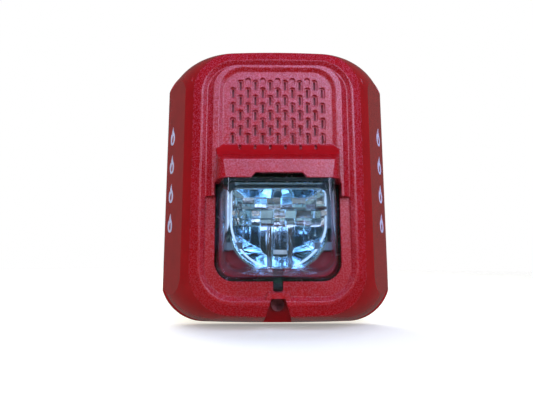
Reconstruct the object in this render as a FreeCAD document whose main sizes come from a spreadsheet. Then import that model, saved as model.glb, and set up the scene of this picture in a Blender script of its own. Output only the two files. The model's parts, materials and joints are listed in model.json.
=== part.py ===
import FreeCAD, Part
import math
import os

import Sketcher
from FreeCAD import Placement, Rotation, Vector

# Wall horn strobe. The frame is that of the object on its wall: X to the right seen from the room, Z up,
# the wall at Y = 0 and the room at negative Y. "Depth" is the distance from the wall, so Y = -depth.

SIZES = {
    # outline of the red housing, seen from the room
    "base_half_width": 61.0,
    "base_half_height": 71.1,
    "base_corner": 23.5,
    "base_crown": 1090.0,
    "lip_depth": 1.8,
    "lip_draft": 0.5,
    "middle_half_width": 52.7,
    "middle_half_height": 68.6,
    "middle_corner": 21.5,
    "middle_crown": 750.0,
    "middle_depth": 15.0,
    "front_half_width": 41.3,
    "front_half_height": 64.4,
    "front_corner": 19.6,
    "front_crown": 500.0,
    "front_depth": 27.7,
    "wall": 2.2,
    # flat side panels
    "panel_foot_half_width": 59.7,
    "panel_top_half_width": 47.2,
    "panel_top_depth": 21.3,
    # rim, valley and grille panel
    "crest_half_width": 37.0,
    "crest_half_height": 59.2,
    "crest_corner": 17.0,
    "crest_depth": 30.6,
    "valley_half_width": 34.3,
    "valley_top": 56.9,
    "valley_bottom": 55.4,
    "valley_corner": 14.0,
    "valley_depth": 29.0,
    "valley_draft": 1.9,
    "hood_half_width": 30.85,
    "hood_top": 55.6,
    "hood_corner": 12.0,
    "hood_depth": 32.3,
    "seam_height": -9.0,
    "grille_lip_half_width": 28.2,
    "grille_half_width": 26.2,
    "grille_top": 52.5,
    "grille_lip_top": 54.2,
    "grille_corner": 9.5,
    "grille_depth": 31.0,
    "grille_foot": 16.7,
    # sound slots
    "slot_half_width": 1.35,
    "slot_half_height": 2.9,
    "slot_pitch": 3.6,
    "slot_row_pitch": 7.65,
    "slot_floor_depth": 30.25,
    "slot_passage": 0.5,
    # visor above the lens
    "visor_half_width": 30.2,
    "visor_depth": 44.0,
    "visor_top": 6.0,
    "visor_foot": -2.8,
    "visor_taper": 3.4,
    "visor_corner": 7.5,
    "notch_half_width": 12.6,
    "notch_height": 2.3,
    # opening for the lens, and the ring below the seam
    "opening_half_width": 29.6,
    "opening_bottom": 48.4,
    "opening_corner": 9.0,
    "ring_depth": 27.9,
    "ring_foot_depth": 28.9,
    # mounting plate on the wall
    "plate_half_width": 54.5,
    "plate_half_height": 67.2,
    "plate_corner": 20.0,
    "plate_thickness": 2.2,
    "plate_rim_inset": 1.5,
    "plate_rim": 1.6,
    "plate_rim_depth": 5.0,
    "box_hole_radius": 2.2,
    "gang_spacing_z": 83.3,
    "gang_spacing_x": 46.0,
    "square_box_spacing": 62.86,
    "wire_opening_half_width": 20.0,
    "wire_opening_low": 6.0,
    "wire_opening_high": 34.0,
    "hook_place": 22.0,
    "hook_half_width": 4.0,
    "hook_low": 58.4,
    "hook_lip_low": 60.4,
    "hook_lip_top": 64.0,
    "hook_lip_back": 7.0,
    "hook_depth": 8.8,
    "ledge_half_width": 3.0,
    "ledge_low": 62.4,
    "ledge_back": 3.0,
    "ledge_front": 4.6,
    # captive mounting screw
    "screw_height": -59.7,
    "screw_radius": 1.95,
    "screw_tip": 3.0,
    "screw_seat": 19.0,
    "screw_head_radius": 3.0,
    "screw_head_depth": 2.4,
    "screw_boss_radius": 4.8,
    "screw_boss_depth": 7.6,
    "insert_radius": 3.2,
    "insert_bore": 2.45,
    "retainer_radius": 3.6,
    "retainer_back": 10.0,
    "retainer_thickness": 0.8,
    # field terminals
    "block_half_width": 21.5,
    "block_low": -17.0,
    "block_high": -3.0,
    "block_depth": 8.6,
    "terminal_pitch": 10.0,
    "terminal_height": -12.0,
    "contact_back": 3.05,
    "contact_thickness": 0.8,
    "clamp_back": 4.1,
    "clamp_thickness": 1.0,
    "clamp_half": 3.0,
    "clamp_screw_radius": 1.5,
    "clamp_head_radius": 2.6,
    "clamp_head_depth": 2.0,
    "blade_height": -6.1,
    # rear cover and circuit board of the head
    "cover_half_width": 49.8,
    "cover_half_height": 61.6,
    "cover_corner": 18.0,
    "cover_back": 9.5,
    "cover_thickness": 1.5,
    "board_half_width": 44.0,
    "board_low": -50.0,
    "board_high": 56.0,
    "board_back": 12.5,
    "board_thickness": 1.6,
    "post_x": 40.0,
    "post_high": 50.0,
    "post_low": -44.0,
    "post_radius": 2.9,
    "cover_screw_radius": 1.3,
    # sounder
    "sounder_height": 31.5,
    "chamber_radius": 21.8,
    "chamber_wall": 1.4,
    "chamber_back": 15.0,
    "chamber_front": 28.0,
    "disc_radius": 20.0,
    "disc_back": 20.2,
    "disc_thickness": 0.35,
    "ceramic_radius": 12.5,
    # lens and flash unit
    "lens_back": 25.6,
    "lens_front": 46.3,
    "lens_half_width": 29.2,
    "lens_front_half_width": 23.75,
    "lens_top": -3.1,
    "lens_bottom": 47.9,
    "lens_front_bottom": 43.3,
    "lens_corner": 8.6,
    "lens_wall": 2.0,
    "lens_crown": 48.5,
    "flange_half_width": 31.4,
    "flange_bottom": 50.2,
    "flange_back": 23.4,
    "reflector_front": 35.0,
    "reflector_back": 21.0,
    "reflector_half_width": 22.0,
    "reflector_bottom": 42.8,
    "reflector_back_half_width": 9.0,
    "frame_back": 21.2,
    "frame_thickness": 1.4,
    "frame_half_width": 28.0,
    "tube_depth": 28.5,
    "tube_radius": 2.2,
    "tube_low": -36.0,
    "tube_high": -13.0,
    "window_place": 18.0,
    "window_height": -32.2,
    # selectors
    "candela_travel": 6.0,
    "dial_x": -30.0,
    "dial_z": 5.0,
    "dial_radius": 4.2,
}


class Length:
    """A length that carries its value now and the sheet expression that drives it."""

    def __init__(self, value, text):
        self.value = value
        self.text = text

    def __add__(self, other):
        return Length(self.value + number(other), f"({self.text} + {words(other)})")

    def __radd__(self, other):
        return Length(number(other) + self.value, f"({words(other)} + {self.text})")

    def __sub__(self, other):
        return Length(self.value - number(other), f"({self.text} - {words(other)})")

    def __rsub__(self, other):
        return Length(number(other) - self.value, f"({words(other)} - {self.text})")

    def __mul__(self, other):
        return Length(self.value * number(other), f"({self.text} * {words(other)})")

    __rmul__ = __mul__

    def __truediv__(self, other):
        return Length(self.value / number(other), f"({self.text} / {words(other)})")

    def __neg__(self):
        return Length(-self.value, f"(0 - {self.text})")


def number(item):
    return item.value if isinstance(item, Length) else float(item)


def words(item):
    return item.text if isinstance(item, Length) else f"({float(item):.6f})"


doc = FreeCAD.newDocument("horn_strobe")
sheet = doc.addObject("Spreadsheet::Sheet", "sizes")
for row, (alias, amount) in enumerate(SIZES.items(), start=1):
    sheet.set(f"A{row}", alias)
    sheet.set(f"B{row}", str(amount))
    sheet.setAlias(f"B{row}", alias)
doc.recompute()


def size(alias):
    return Length(SIZES[alias], f"sizes.{alias}")


def bind(thing, path, length):
    """Give a property its value and, where a sheet cell drives it, its expression."""
    thing.setExpression(path, words(length))


def new_sketch(body, name, plane="XZ_Plane", offset=0.0):
    """A sketch on one of the body's own origin planes; on XZ the offset is the depth."""
    sketch = body.newObject("Sketcher::SketchObject", name)
    base = next(item for item in body.Origin.OriginFeatures if item.Role == plane)
    sketch.AttachmentSupport = [(base, "")]
    sketch.MapMode = "FlatFace"
    bind(sketch, "AttachmentOffset.Base.z", offset)
    return sketch


def fix(sketch, name, constraint, length):
    place = sketch.addConstraint(constraint)
    sketch.renameConstraint(place, name)
    bind(sketch, f"Constraints.{name}", length)


def crowned_outline(body, name, offset, half_width, half_height, corner, crown):
    """Rounded rectangle whose top and bottom edges are long shallow arcs."""
    sketch = new_sketch(body, name, offset=offset)
    w, h, r, c = (number(item) for item in (half_width, half_height, corner, crown))
    rise = math.sqrt((c - r) ** 2 - (w - r) ** 2)
    z = h - c + rise
    turn = math.atan2(rise, w - r)

    def arc(x, y, radius, start, end):
        return Part.ArcOfCircle(Part.Circle(Vector(x, y, 0), Vector(0, 0, 1), radius), start, end)

    sketch.addGeometry([
        Part.LineSegment(Vector(w, -z, 0), Vector(w, z, 0)),
        arc(w - r, z, r, 0, turn),
        arc(0, h - c, c, turn, math.pi - turn),
        arc(r - w, z, r, math.pi - turn, math.pi),
        Part.LineSegment(Vector(-w, z, 0), Vector(-w, -z, 0)),
        arc(r - w, -z, r, math.pi, math.pi + turn),
        arc(0, c - h, c, math.pi + turn, 2 * math.pi - turn),
        arc(w - r, -z, r, 2 * math.pi - turn, 2 * math.pi),
    ], False)
    rules = [Sketcher.Constraint("Tangent", i, 2, (i + 1) % 8, 1) for i in range(8)]
    rules += [Sketcher.Constraint("Vertical", 0), Sketcher.Constraint("Vertical", 4)]
    rules += [Sketcher.Constraint("Equal", 1, i) for i in (3, 5, 7)]
    rules += [Sketcher.Constraint("Equal", 2, 6)]
    rules += [Sketcher.Constraint("PointOnObject", i, 3, -2) for i in (2, 6)]
    sketch.addConstraint(rules)
    fix(sketch, "corner", Sketcher.Constraint("Radius", 1, r), corner)
    fix(sketch, "crown", Sketcher.Constraint("Radius", 2, c), crown)
    fix(sketch, "right", Sketcher.Constraint("DistanceX", -1, 1, 0, 1, w), half_width)
    fix(sketch, "left", Sketcher.Constraint("DistanceX", 4, 1, -1, 1, w), half_width)
    fix(sketch, "top", Sketcher.Constraint("DistanceY", 2, 3, -1, 1, c - h), crown - half_height)
    fix(sketch, "bottom", Sketcher.Constraint("DistanceY", -1, 1, 6, 3, c - h), crown - half_height)
    return sketch


def outline(body, name, points, offset=0.0, plane="XZ_Plane", radii=None):
    """Closed outline through points given as lengths; radii maps a corner's index to its arc."""
    sketch = new_sketch(body, name, plane, offset)
    radii = radii or {}
    count = len(points)
    spots = [Vector(number(x), number(y), 0) for x, y in points]
    if sum(spots[i - 1].cross(spots[i]).z for i in range(count)) < 0:
        points = points[::-1]
        spots = spots[::-1]
        radii = {count - 1 - i: radius for i, radius in radii.items()}
    lines = []
    arcs = {}
    ends = {}
    for i, spot in enumerate(spots):
        before = (spots[i - 1] - spot).normalize()
        after = (spots[(i + 1) % count] - spot).normalize()
        ends[i] = (spot, spot)
        if i in radii:
            half = before.getAngle(after) / 2
            reach = number(radii[i]) / math.tan(half)
            middle = spot + (before + after).normalize() * (number(radii[i]) / math.sin(half))
            ends[i] = (spot + before * reach, spot + after * reach)
            hollow = before.cross(after).z > 0
            arcs[i] = (middle, hollow)
    for i in range(count):
        line = Part.LineSegment(ends[i][1], ends[(i + 1) % count][0])
        lines.append(sketch.addGeometry(line, False))
    for i, (middle, hollow) in arcs.items():
        start, end = ends[i][::-1] if hollow else ends[i]
        circle = Part.Circle(middle, Vector(0, 0, 1), number(radii[i]))
        turns = [math.atan2(end_point.y - middle.y, end_point.x - middle.x) for end_point in (start, end)]
        if turns[1] < turns[0]:
            turns[1] += 2 * math.pi
        arcs[i] = (sketch.addGeometry(Part.ArcOfCircle(circle, *turns), False), 2 if hollow else 1)
    for i in range(count):
        before, after = lines[i - 1], lines[i]
        if i in arcs:
            arc, first = arcs[i]
            sketch.addConstraint(Sketcher.Constraint("Tangent", before, 2, arc, first))
            sketch.addConstraint(Sketcher.Constraint("Tangent", arc, 3 - first, after, 1))
            fix(sketch, f"radius_{i}", Sketcher.Constraint("Radius", arc, number(radii[i])), radii[i])
            corner = sketch.addGeometry(Part.Point(spots[i]), True)
            sketch.addConstraint(Sketcher.Constraint("PointOnObject", corner, 1, before))
            sketch.addConstraint(Sketcher.Constraint("PointOnObject", corner, 1, after))
            target = (corner, 1)
        else:
            sketch.addConstraint(Sketcher.Constraint("Coincident", before, 2, after, 1))
            target = (after, 1)
        for axis, kind in enumerate(("DistanceX", "DistanceY")):
            rule = Sketcher.Constraint(kind, -1, 1, *target, spots[i][axis])
            fix(sketch, f"{kind}_{i}", rule, points[i][axis])
    return sketch


def tall_outline(body, name, offset, half_width, top, bottom, top_corner=None, bottom_corner=None):
    """Rectangle from bottom to top, symmetric about X = 0, with rounded top or bottom corners."""
    points = [(half_width, bottom), (half_width, top), (-half_width, top), (-half_width, bottom)]
    radii = {}
    if top_corner is not None:
        radii.update({1: top_corner, 2: top_corner})
    if bottom_corner is not None:
        radii.update({0: bottom_corner, 3: bottom_corner})
    return outline(body, name, points, offset, radii=radii)


def new_body(label):
    body = doc.addObject("PartDesign::Body", label)
    body.Label = label
    return body


def loft(body, kind, name, *sections, ruled=False):
    feature = body.newObject(f"PartDesign::{kind}Loft", name)
    feature.Profile = sections[0]
    feature.Sections = list(sections[1:])
    feature.Ruled = ruled
    doc.recompute()
    return feature


def pad(body, sketch, name, length, midplane=False, backwards=False):
    feature = body.newObject("PartDesign::Pad", name)
    feature.Profile = sketch
    bind(feature, "Length", length)
    feature.SideType = "Symmetric" if midplane else "One side"
    feature.Reversed = backwards
    doc.recompute()
    return feature


def pocket(body, sketch, name, length, midplane=False, backwards=False):
    before = body.Shape.Volume
    feature = body.newObject("PartDesign::Pocket", name)
    feature.Profile = sketch
    bind(feature, "Length", length)
    feature.SideType = "Symmetric" if midplane else "One side"
    feature.Reversed = backwards
    doc.recompute()
    if not body.Shape.Volume < before - 1e-3:
        raise RuntimeError(f"{name} cut nothing")
    return feature


def round_edges(body, name, radius, wanted):
    """Fillet every edge of the body's tip for which wanted(edge) is true."""
    base = body.Tip
    edges = [f"Edge{i}" for i, edge in enumerate(base.Shape.Edges, start=1) if wanted(edge)]
    feature = body.newObject("PartDesign::Fillet", name)
    feature.Base = (base, edges)
    bind(feature, "Radius", radius)
    doc.recompute()
    return feature


def part(kind, label, **links):
    thing = doc.addObject(f"Part::{kind}", label)
    thing.Label = label
    for name, value in links.items():
        setattr(thing, name, value)
    return thing


def fuse(label, *shapes):
    return part("MultiFuse", label, Shapes=list(shapes))


def cut(label, base, tool):
    return part("Cut", label, Base=base, Tool=tool)


def common(label, *shapes):
    return part("MultiCommon", label, Shapes=list(shapes))


def trim_side_panels(body, inset):
    """Cut the bulged flanks by the two flat tilted planes, inset by a wall where that is asked."""
    foot = size("panel_foot_half_width")
    run = (foot - size("panel_top_half_width")) / size("panel_top_depth")
    slant = math.hypot(1.0, number(run))
    shift = inset * slant
    front = 45.0
    back = 10.0
    outer = 90.0
    for side, sign in (("right", 1), ("left", -1)):
        points = [
            ((foot - shift + run * back) * sign, back),
            (outer * sign, back),
            (outer * sign, -front),
            ((foot - shift - run * front) * sign, -front),
        ]
        sketch = outline(body, f"{side}_panel_plane", points, plane="XY_Plane")
        pocket(body, sketch, f"{side}_panel_cut", 200.0, midplane=True)


def flank_lofts(body, prefix, inset, back, front):
    """The bulged flank through its three crowned outlines, at its size or inset by a wall."""
    sections = []
    for place, depth in (("base", back), ("middle", size("middle_depth")), ("front", front)):
        sections.append(crowned_outline(
            body, f"{prefix}_{place}", depth,
            size(f"{place}_half_width") - inset, size(f"{place}_half_height") - inset,
            size(f"{place}_corner") - inset * 0.6, size(f"{place}_crown")))
    return loft(body, "Additive", f"{prefix}_flank", *sections)


def shell_form():
    """Outer form of the housing without its visor: flanks, rim, valley and grille panel."""
    body = new_body("shell_form")
    lip, draft = size("lip_depth"), size("lip_draft")
    foot = crowned_outline(body, "foot", 0.0, size("base_half_width"), size("base_half_height"),
                           size("base_corner"), size("base_crown"))
    top = crowned_outline(body, "lip_top", lip, size("base_half_width") - draft,
                          size("base_half_height") - draft, size("base_corner"), size("base_crown"))
    loft(body, "Additive", "lip", foot, top, ruled=True)
    start = crowned_outline(body, "flank_foot", lip, size("base_half_width") - draft * 2,
                            size("base_half_height") - draft * 2, size("base_corner"), size("base_crown"))
    middle = crowned_outline(body, "flank_middle", size("middle_depth"), size("middle_half_width"),
                             size("middle_half_height"), size("middle_corner"), size("middle_crown"))
    front = crowned_outline(body, "flank_front", size("front_depth"), size("front_half_width"),
                            size("front_half_height"), size("front_corner"), size("front_crown"))
    loft(body, "Additive", "flank", start, middle, front)
    rim_foot = crowned_outline(body, "rim_foot", size("front_depth"), size("front_half_width"),
                               size("front_half_height"), size("front_corner"), size("front_crown"))
    crest = crowned_outline(body, "crest", size("crest_depth"), size("crest_half_width"),
                            size("crest_half_height"), size("crest_corner"), size("front_crown"))
    loft(body, "Additive", "rim", rim_foot, crest, ruled=True)
    draft = size("valley_draft")
    mouth = tall_outline(body, "valley_mouth", size("crest_depth"), size("valley_half_width") + draft,
                         size("valley_top") + draft, -(size("valley_bottom") + draft),
                         size("valley_corner") + draft, size("valley_corner") + draft)
    floor = tall_outline(body, "valley_floor", size("valley_depth"), size("valley_half_width"),
                         size("valley_top"), -size("valley_bottom"),
                         size("valley_corner"), size("valley_corner"))
    loft(body, "Subtractive", "valley", floor, mouth, ruled=True)
    trim_side_panels(body, 0.0)
    return body


def hood_form():
    """Raised panel that carries the grille, down to the seam."""
    body = new_body("hood_form")
    seam = size("seam_height")
    foot = tall_outline(body, "hood_foot", size("valley_depth") - 0.3, size("valley_half_width"),
                        size("valley_top") - 0.4, seam, size("valley_corner"))
    lip = tall_outline(body, "hood_lip", size("hood_depth"), size("hood_half_width"),
                       size("hood_top"), seam, size("hood_corner"))
    loft(body, "Additive", "hood", foot, lip, ruled=True)
    under = size("grille_foot") - 8.0
    face = tall_outline(body, "grille_face", size("grille_depth"), size("grille_half_width"),
                        size("grille_top"), under, size("grille_corner"))
    edge = tall_outline(body, "grille_edge", size("hood_depth"), size("grille_lip_half_width"),
                        size("grille_lip_top"), under, size("grille_corner") + 1.8)
    loft(body, "Subtractive", "grille_recess", face, edge, ruled=True)
    return body


def block(label, x, depth, z):
    """Box given by its low and high limits across, in depth from the wall, and in height."""
    thing = part("Box", label)
    bind(thing, "Length", x[1] - x[0])
    bind(thing, "Width", depth[1] - depth[0])
    bind(thing, "Height", z[1] - z[0])
    bind(thing, "Placement.Base.x", x[0])
    bind(thing, "Placement.Base.y", depth[1] * -1)
    bind(thing, "Placement.Base.z", z[0])
    return thing


def round_bar(label, centre, radius, start, end):
    """Cylinder that stands out from the wall, from one depth to another."""
    thing = part("Cylinder", label)
    thing.Placement = Placement(Vector(), Rotation(Vector(1, 0, 0), 90))
    bind(thing, "Radius", radius)
    bind(thing, "Height", end - start)
    bind(thing, "Placement.Base.x", centre[0])
    bind(thing, "Placement.Base.y", start * -1)
    bind(thing, "Placement.Base.z", centre[1])
    return thing


def upright_bar(label, x, depth, radius, low, high):
    """Cylinder along Z."""
    thing = part("Cylinder", label)
    bind(thing, "Radius", radius)
    bind(thing, "Height", high - low)
    bind(thing, "Placement.Base.x", x)
    bind(thing, "Placement.Base.y", depth * -1)
    bind(thing, "Placement.Base.z", low)
    return thing


def prism(label, points, start, end, radii=None, plane="XZ_Plane"):
    """Straight extrusion of an outline; on the XZ plane start and end are depths."""
    body = new_body(label)
    sketch = outline(body, f"{label}_outline", points, start, plane, radii)
    pad(body, sketch, f"{label}_pad", end - start)
    return body


def tall_prism(label, half_width, top, bottom, start, end, top_corner=None, bottom_corner=None):
    body = new_body(label)
    sketch = tall_outline(body, f"{label}_outline", start, half_width, top, bottom,
                          top_corner, bottom_corner)
    pad(body, sketch, f"{label}_pad", end - start)
    return body


def side_prism(label, points, half_width, radii=None, middle=0.0):
    """Extrusion along X, to both sides of middle, of an outline given as (depth, height) points."""
    body = new_body(label)
    sketch = outline(body, f"{label}_outline", [(-depth, height) for depth, height in points],
                     middle, "YZ_Plane", radii)
    pad(body, sketch, f"{label}_pad", half_width * 2, midplane=True)
    return body


def plan_prism(label, points, bottom, top, radii=None):
    """Extrusion along Z of an outline given as (x, depth) points."""
    body = new_body(label)
    sketch = outline(body, f"{label}_outline", [(x, -depth) for x, depth in points],
                     bottom, "XY_Plane", radii)
    pad(body, sketch, f"{label}_pad", top - bottom)
    return body


def visor_form(label, inset, foot, root):
    """The collar above the lens: a side profile and a plan outline in common, both inset alike."""
    depth = size("visor_depth") - inset
    top = size("visor_top") - inset * 1.1
    elbow_depth = size("grille_depth") + 3.2 - inset * 0.7
    elbow_height = size("visor_top") + 4.6 - inset * 1.2
    head = size("grille_foot") + 0.3 - inset * 1.2
    profile = side_prism(f"{label}_profile", [
        (root, foot), (depth + 0.8, foot), (depth, top), (elbow_depth, elbow_height),
        (size("grille_depth") - 0.3 - inset, head), (root, head),
    ], 45.0, radii={2: 1.3, 3: 7.0})
    half = size("visor_half_width") - inset
    nose = half - size("visor_taper")
    plan = plan_prism(f"{label}_plan", [
        (half + 1.0, root - 5.0), (half, root), (nose, depth + 1.2),
        (-nose, depth + 1.2), (-half, root), (-half - 1.0, root - 5.0),
    ], -30.0, 40.0, radii={2: size("visor_corner"), 3: size("visor_corner")})
    return common(label, profile, plan)


def slot_cutters():
    """The grille's staggered slots: shallow recesses, each with a narrow passage through the wall."""
    half, tall, pitch = size("slot_half_width"), size("slot_half_height"), size("slot_pitch")
    rise = size("slot_row_pitch")
    floor, passage = size("slot_floor_depth"), size("slot_passage")
    cutters = []
    families = (
        # name, first slot's place, columns, rows, half width, half height, depth where it starts
        ("outer", -pitch * 6, 41.65, 7, 4, half, tall, floor),
        ("inner", -pitch * 5, 45.5, 6, 4, half, tall, floor),
        ("short", -pitch * 4, 47.6, 5, 1, half, tall * 0.6, floor),
        ("sill", -pitch * 5, 14.3, 6, 1, half * 0.45, tall * 0.45, floor),
        ("outer_passage", -pitch * 6, 41.65, 7, 4, passage, tall - 0.8, 24.0),
        ("inner_passage", -pitch * 5, 45.5, 6, 4, passage, tall - 0.8, 24.0),
    )
    for name, x, z, columns, rows, half, reach, start in families:
        body = new_body(f"{name}_slots")
        points = [(x + half, reach * -1 + z), (x + half, reach + z), (x - half, reach + z),
                  (x - half, reach * -1 + z)]
        radii = {i: half * 0.85 for i in range(4)}
        sketch = outline(body, f"{name}_slot", points, start, radii=radii)
        first = pad(body, sketch, f"{name}_slot_pad", 12.0)
        steps = [("X_Axis", 1, columns, pitch * 2), ("Z_Axis", -1, rows, rise)]
        grid = body.newObject("PartDesign::MultiTransform", f"{name}_grid")
        grid.Originals = [first]
        patterns = []
        for axis, sign, count, step in steps:
            if count < 2:
                continue
            pattern = body.newObject("PartDesign::LinearPattern", f"{name}_{axis}_row")
            line = next(item for item in body.Origin.OriginFeatures if item.Role == axis)
            pattern.Direction = (line, [""])
            pattern.Reversed = sign < 0
            pattern.Mode = "Spacing"
            bind(pattern, "Offset", step)
            pattern.Occurrences = count
            patterns.append(pattern)
        grid.Transformations = patterns
        body.Tip = grid
        cutters.append(body)
    return cutters


def front_housing():
    """The red shell: outer form less its cavity, openings, slots and screw recess."""
    seam = size("seam_height")
    opening = size("opening_half_width")
    low = -size("opening_bottom")
    outer = fuse("outer_form", shell_form(), hood_form(),
                 visor_form("visor", 0.0, size("visor_foot"), size("valley_depth") - 3.0),
                 prism("screw_block", [(4.8, -53.2), (6.6, -59.4), (-6.6, -59.4), (-4.8, -53.2)],
                       27.0, size("crest_depth") - 0.2))
    ring = common("ring_recess",
                  tall_prism("ring_outline", size("valley_half_width"), seam, -size("valley_bottom"),
                             20.0, 40.0, bottom_corner=size("valley_corner")),
                  side_prism("ring_wedge", [(size("ring_depth"), seam + 1.0),
                                            (size("ring_foot_depth"), -57.0), (40.0, -57.0),
                                            (40.0, seam + 1.0)], 40.0),
                  )
    ring_without_block = cut("ring_cut", ring, prism(
        "block_guard", [(4.8, -53.2), (6.6, -59.4), (-6.6, -59.4), (-4.8, -53.2)], 15.0, 45.0))
    cavity = new_body("cavity_form")
    flank_lofts(cavity, "inner", size("wall"), -0.5, size("front_depth") - 2.0)
    trim_side_panels(cavity, size("wall"))
    boss_outline = [(5.4, -54.2), (10.6, -73.0), (-10.6, -73.0), (-5.4, -54.2)]
    boss = prism("screw_boss_form", boss_outline, 9.0, 26.0)
    hollow = cut("hollow", fuse("hollow_parts", cavity,
                                tall_prism("grille_hollow", 27.4, 53.4, -6.0, 24.0, 29.6, 9.0, 4.0)),
                 boss)
    recess = common("screw_recess",
                    prism("recess_outline", [(3.15, -56.1), (8.4, -73.0), (-8.4, -73.0), (-3.15, -56.1)],
                          5.0, 45.0),
                    side_prism("recess_profile", [(19.0, -50.0), (45.0, -50.0), (45.0, -75.0),
                                                  (11.0, -75.0), (19.0, -63.0)], 20.0))
    openings = fuse("openings", hollow, ring_without_block, recess,
                    tall_prism("lens_opening", opening, size("visor_foot"), low, 15.0, 45.0,
                               bottom_corner=size("opening_corner")),
                    visor_form("visor_hollow", 2.0, size("visor_foot") - 1.0, 22.0),
                    prism("visor_notch", [(12.9, -3.4), (10.3, -0.5), (-10.3, -0.5), (-12.9, -3.4)],
                          36.0, 50.0),
                    round_bar("screw_clearance", (0.0, size("screw_height")), size("screw_radius") + 0.5,
                              8.0, 20.0),
                    round_bar("retainer_space", (0.0, size("screw_height")), size("retainer_radius") + 0.7,
                              8.0, 17.0),
                    prism("tongue_slot", [(2.3, -47.0), (2.3, -53.0), (-2.3, -53.0), (-2.3, -47.0)],
                          22.0, 40.0, radii={1: 1.0, 2: 1.0}),
                    *slot_cutters())
    return cut("front_housing", outer, openings)


def hooked_housing():
    """The front housing with the ledges that hang on the plate and the posts for the cover screws."""
    shell = front_housing()
    shell.Label = "housing_shell"
    added = []
    for side, sign in (("right", 1), ("left", -1)):
        x = size("hook_place") * sign
        half = size("ledge_half_width")
        ledge = block(f"{side}_ledge", (x - half, x + half),
                      (size("ledge_back"), size("ledge_front")), (size("ledge_low"), 69.4))
        added.append(ledge)
        for level in ("high", "low"):
            centre = (size("post_x") * sign, size(f"post_{level}"))
            front = 26.0 if level == "high" else 25.9
            post = round_bar(f"{side}_{level}_post", centre, size("post_radius"),
                             size("cover_back") + size("cover_thickness"), front)
            bore = round_bar(f"{side}_{level}_post_bore", centre, size("cover_screw_radius") + 0.05,
                             size("cover_back") + size("cover_thickness"), 20.0)
            added.append(cut(f"{side}_{level}_bored_post", post, bore))
    return fuse("front_housing", shell, *added)


def mounting_plate():
    """Wall plate: hooks at the top, box holes, wire opening and the boss for the captive screw."""
    thickness = size("plate_thickness")
    inset, rim = size("plate_rim_inset"), size("plate_rim")
    body = new_body("plate_form")
    half_width, half_height = size("plate_half_width"), size("plate_half_height")
    corner = size("plate_corner")
    base = crowned_outline(body, "plate_edge", 0.0, half_width, half_height, corner, size("base_crown"))
    pad(body, base, "plate_pad", thickness)
    wall = crowned_outline(body, "plate_wall", thickness, half_width - inset, half_height - inset,
                           corner - inset, size("base_crown"))
    pad(body, wall, "plate_wall_pad", size("plate_rim_depth") - thickness)
    inner = crowned_outline(body, "plate_inside", size("plate_rim_depth"), half_width - inset - rim,
                            half_height - inset - rim, corner - inset - rim, size("base_crown"))
    pocket(body, inner, "plate_inside_cut", size("plate_rim_depth") - thickness)
    added = [body, round_bar("plate_screw_boss", (0.0, size("screw_height")), size("screw_boss_radius"),
                             thickness, size("screw_boss_depth"))]
    removed = [round_bar("insert_seat", (0.0, size("screw_height")), size("insert_radius"), 1.0, 10.0)]
    for side, sign in (("right", 1), ("left", -1)):
        x = size("hook_place") * sign
        half = size("hook_half_width")
        added.append(block(f"{side}_hook_arm", (x - half, x + half), (thickness - 0.1, size("hook_depth")),
                           (size("hook_low"), size("hook_lip_low"))))
        added.append(block(f"{side}_hook_lip", (x - half, x + half),
                           (size("hook_lip_back"), size("hook_depth")),
                           (size("hook_lip_low") - 0.1, size("hook_lip_top"))))
        removed.append(block(f"{side}_hook_gap", (x - half - 0.7, x + half + 0.7),
                             (thickness, thickness + 4.0), (62.0, 69.0)))
    holes = [(0.0, size("gang_spacing_z") / 2), (0.0, size("gang_spacing_z") / -2)]
    for across, up in ((size("gang_spacing_x"), size("gang_spacing_z")),
                       (size("square_box_spacing"), size("square_box_spacing"))):
        holes += [(across / 2 * i, up / 2 * j) for i in (1, -1) for j in (1, -1)]
    for i, centre in enumerate(holes):
        removed.append(round_bar(f"box_hole_{i}", centre, size("box_hole_radius"), -1.0, 6.0))
    half = size("wire_opening_half_width")
    removed.append(tall_prism("wire_opening", half, size("wire_opening_high"), size("wire_opening_low"),
                              -1.0, 6.0, 5.0, 5.0))
    for side, sign in (("right", 1), ("left", -1)):
        x = sorted((sign * 27.0, sign * 46.0))
        for count, low in enumerate((-22.0, -10.0, 2.0, 14.0)):
            removed.append(block(f"{side}_relief_{count}", x, (-1.0, 0.7), (low, low + 9.0)))
    return cut("mounting_plate", fuse("plate_added", *added), fuse("plate_removed", *removed))


def screw_insert():
    centre = (0.0, size("screw_height"))
    return cut("screw_insert",
               round_bar("insert_outside", centre, size("insert_radius"), 1.0, size("screw_boss_depth")),
               round_bar("insert_hole", centre, size("insert_bore"), 0.0, 9.0))


def cross_head_screw(label, centre, radius, tip, seat, head_radius, head_depth, drive):
    """Screw along Y with its head towards the room and a cross recess as wide as drive."""
    top = seat + head_depth
    solid = fuse(f"{label}_solid", round_bar(f"{label}_shank", centre, radius, tip, seat + 0.1),
                 round_bar(f"{label}_head", centre, head_radius, seat, top))
    half, slot = drive / 2, drive / 9
    x, z = centre
    recess = fuse(f"{label}_cross",
                  block(f"{label}_cross_wide", (x - half, x + half), (top - head_depth * 0.5, top + 1.0),
                        (z - slot, z + slot)),
                  block(f"{label}_cross_tall", (x - slot, x + slot), (top - head_depth * 0.5, top + 1.0),
                        (z - half, z + half)))
    return cut(label, solid, recess)


def captive_screw():
    return cross_head_screw("captive_screw", (0.0, size("screw_height")), size("screw_radius"),
                            size("screw_tip"), size("screw_seat"), size("screw_head_radius"),
                            size("screw_head_depth"), 4.0)


def washer(label, centre, outside, inside, back, thickness):
    return cut(label, round_bar(f"{label}_outside", centre, outside, back, back + thickness),
               round_bar(f"{label}_hole", centre, inside, back - 1.0, back + thickness + 1.0))


def terminal_places():
    return [size("terminal_pitch") * step for step in (-1.5, -0.5, 0.5, 1.5)]


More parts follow.
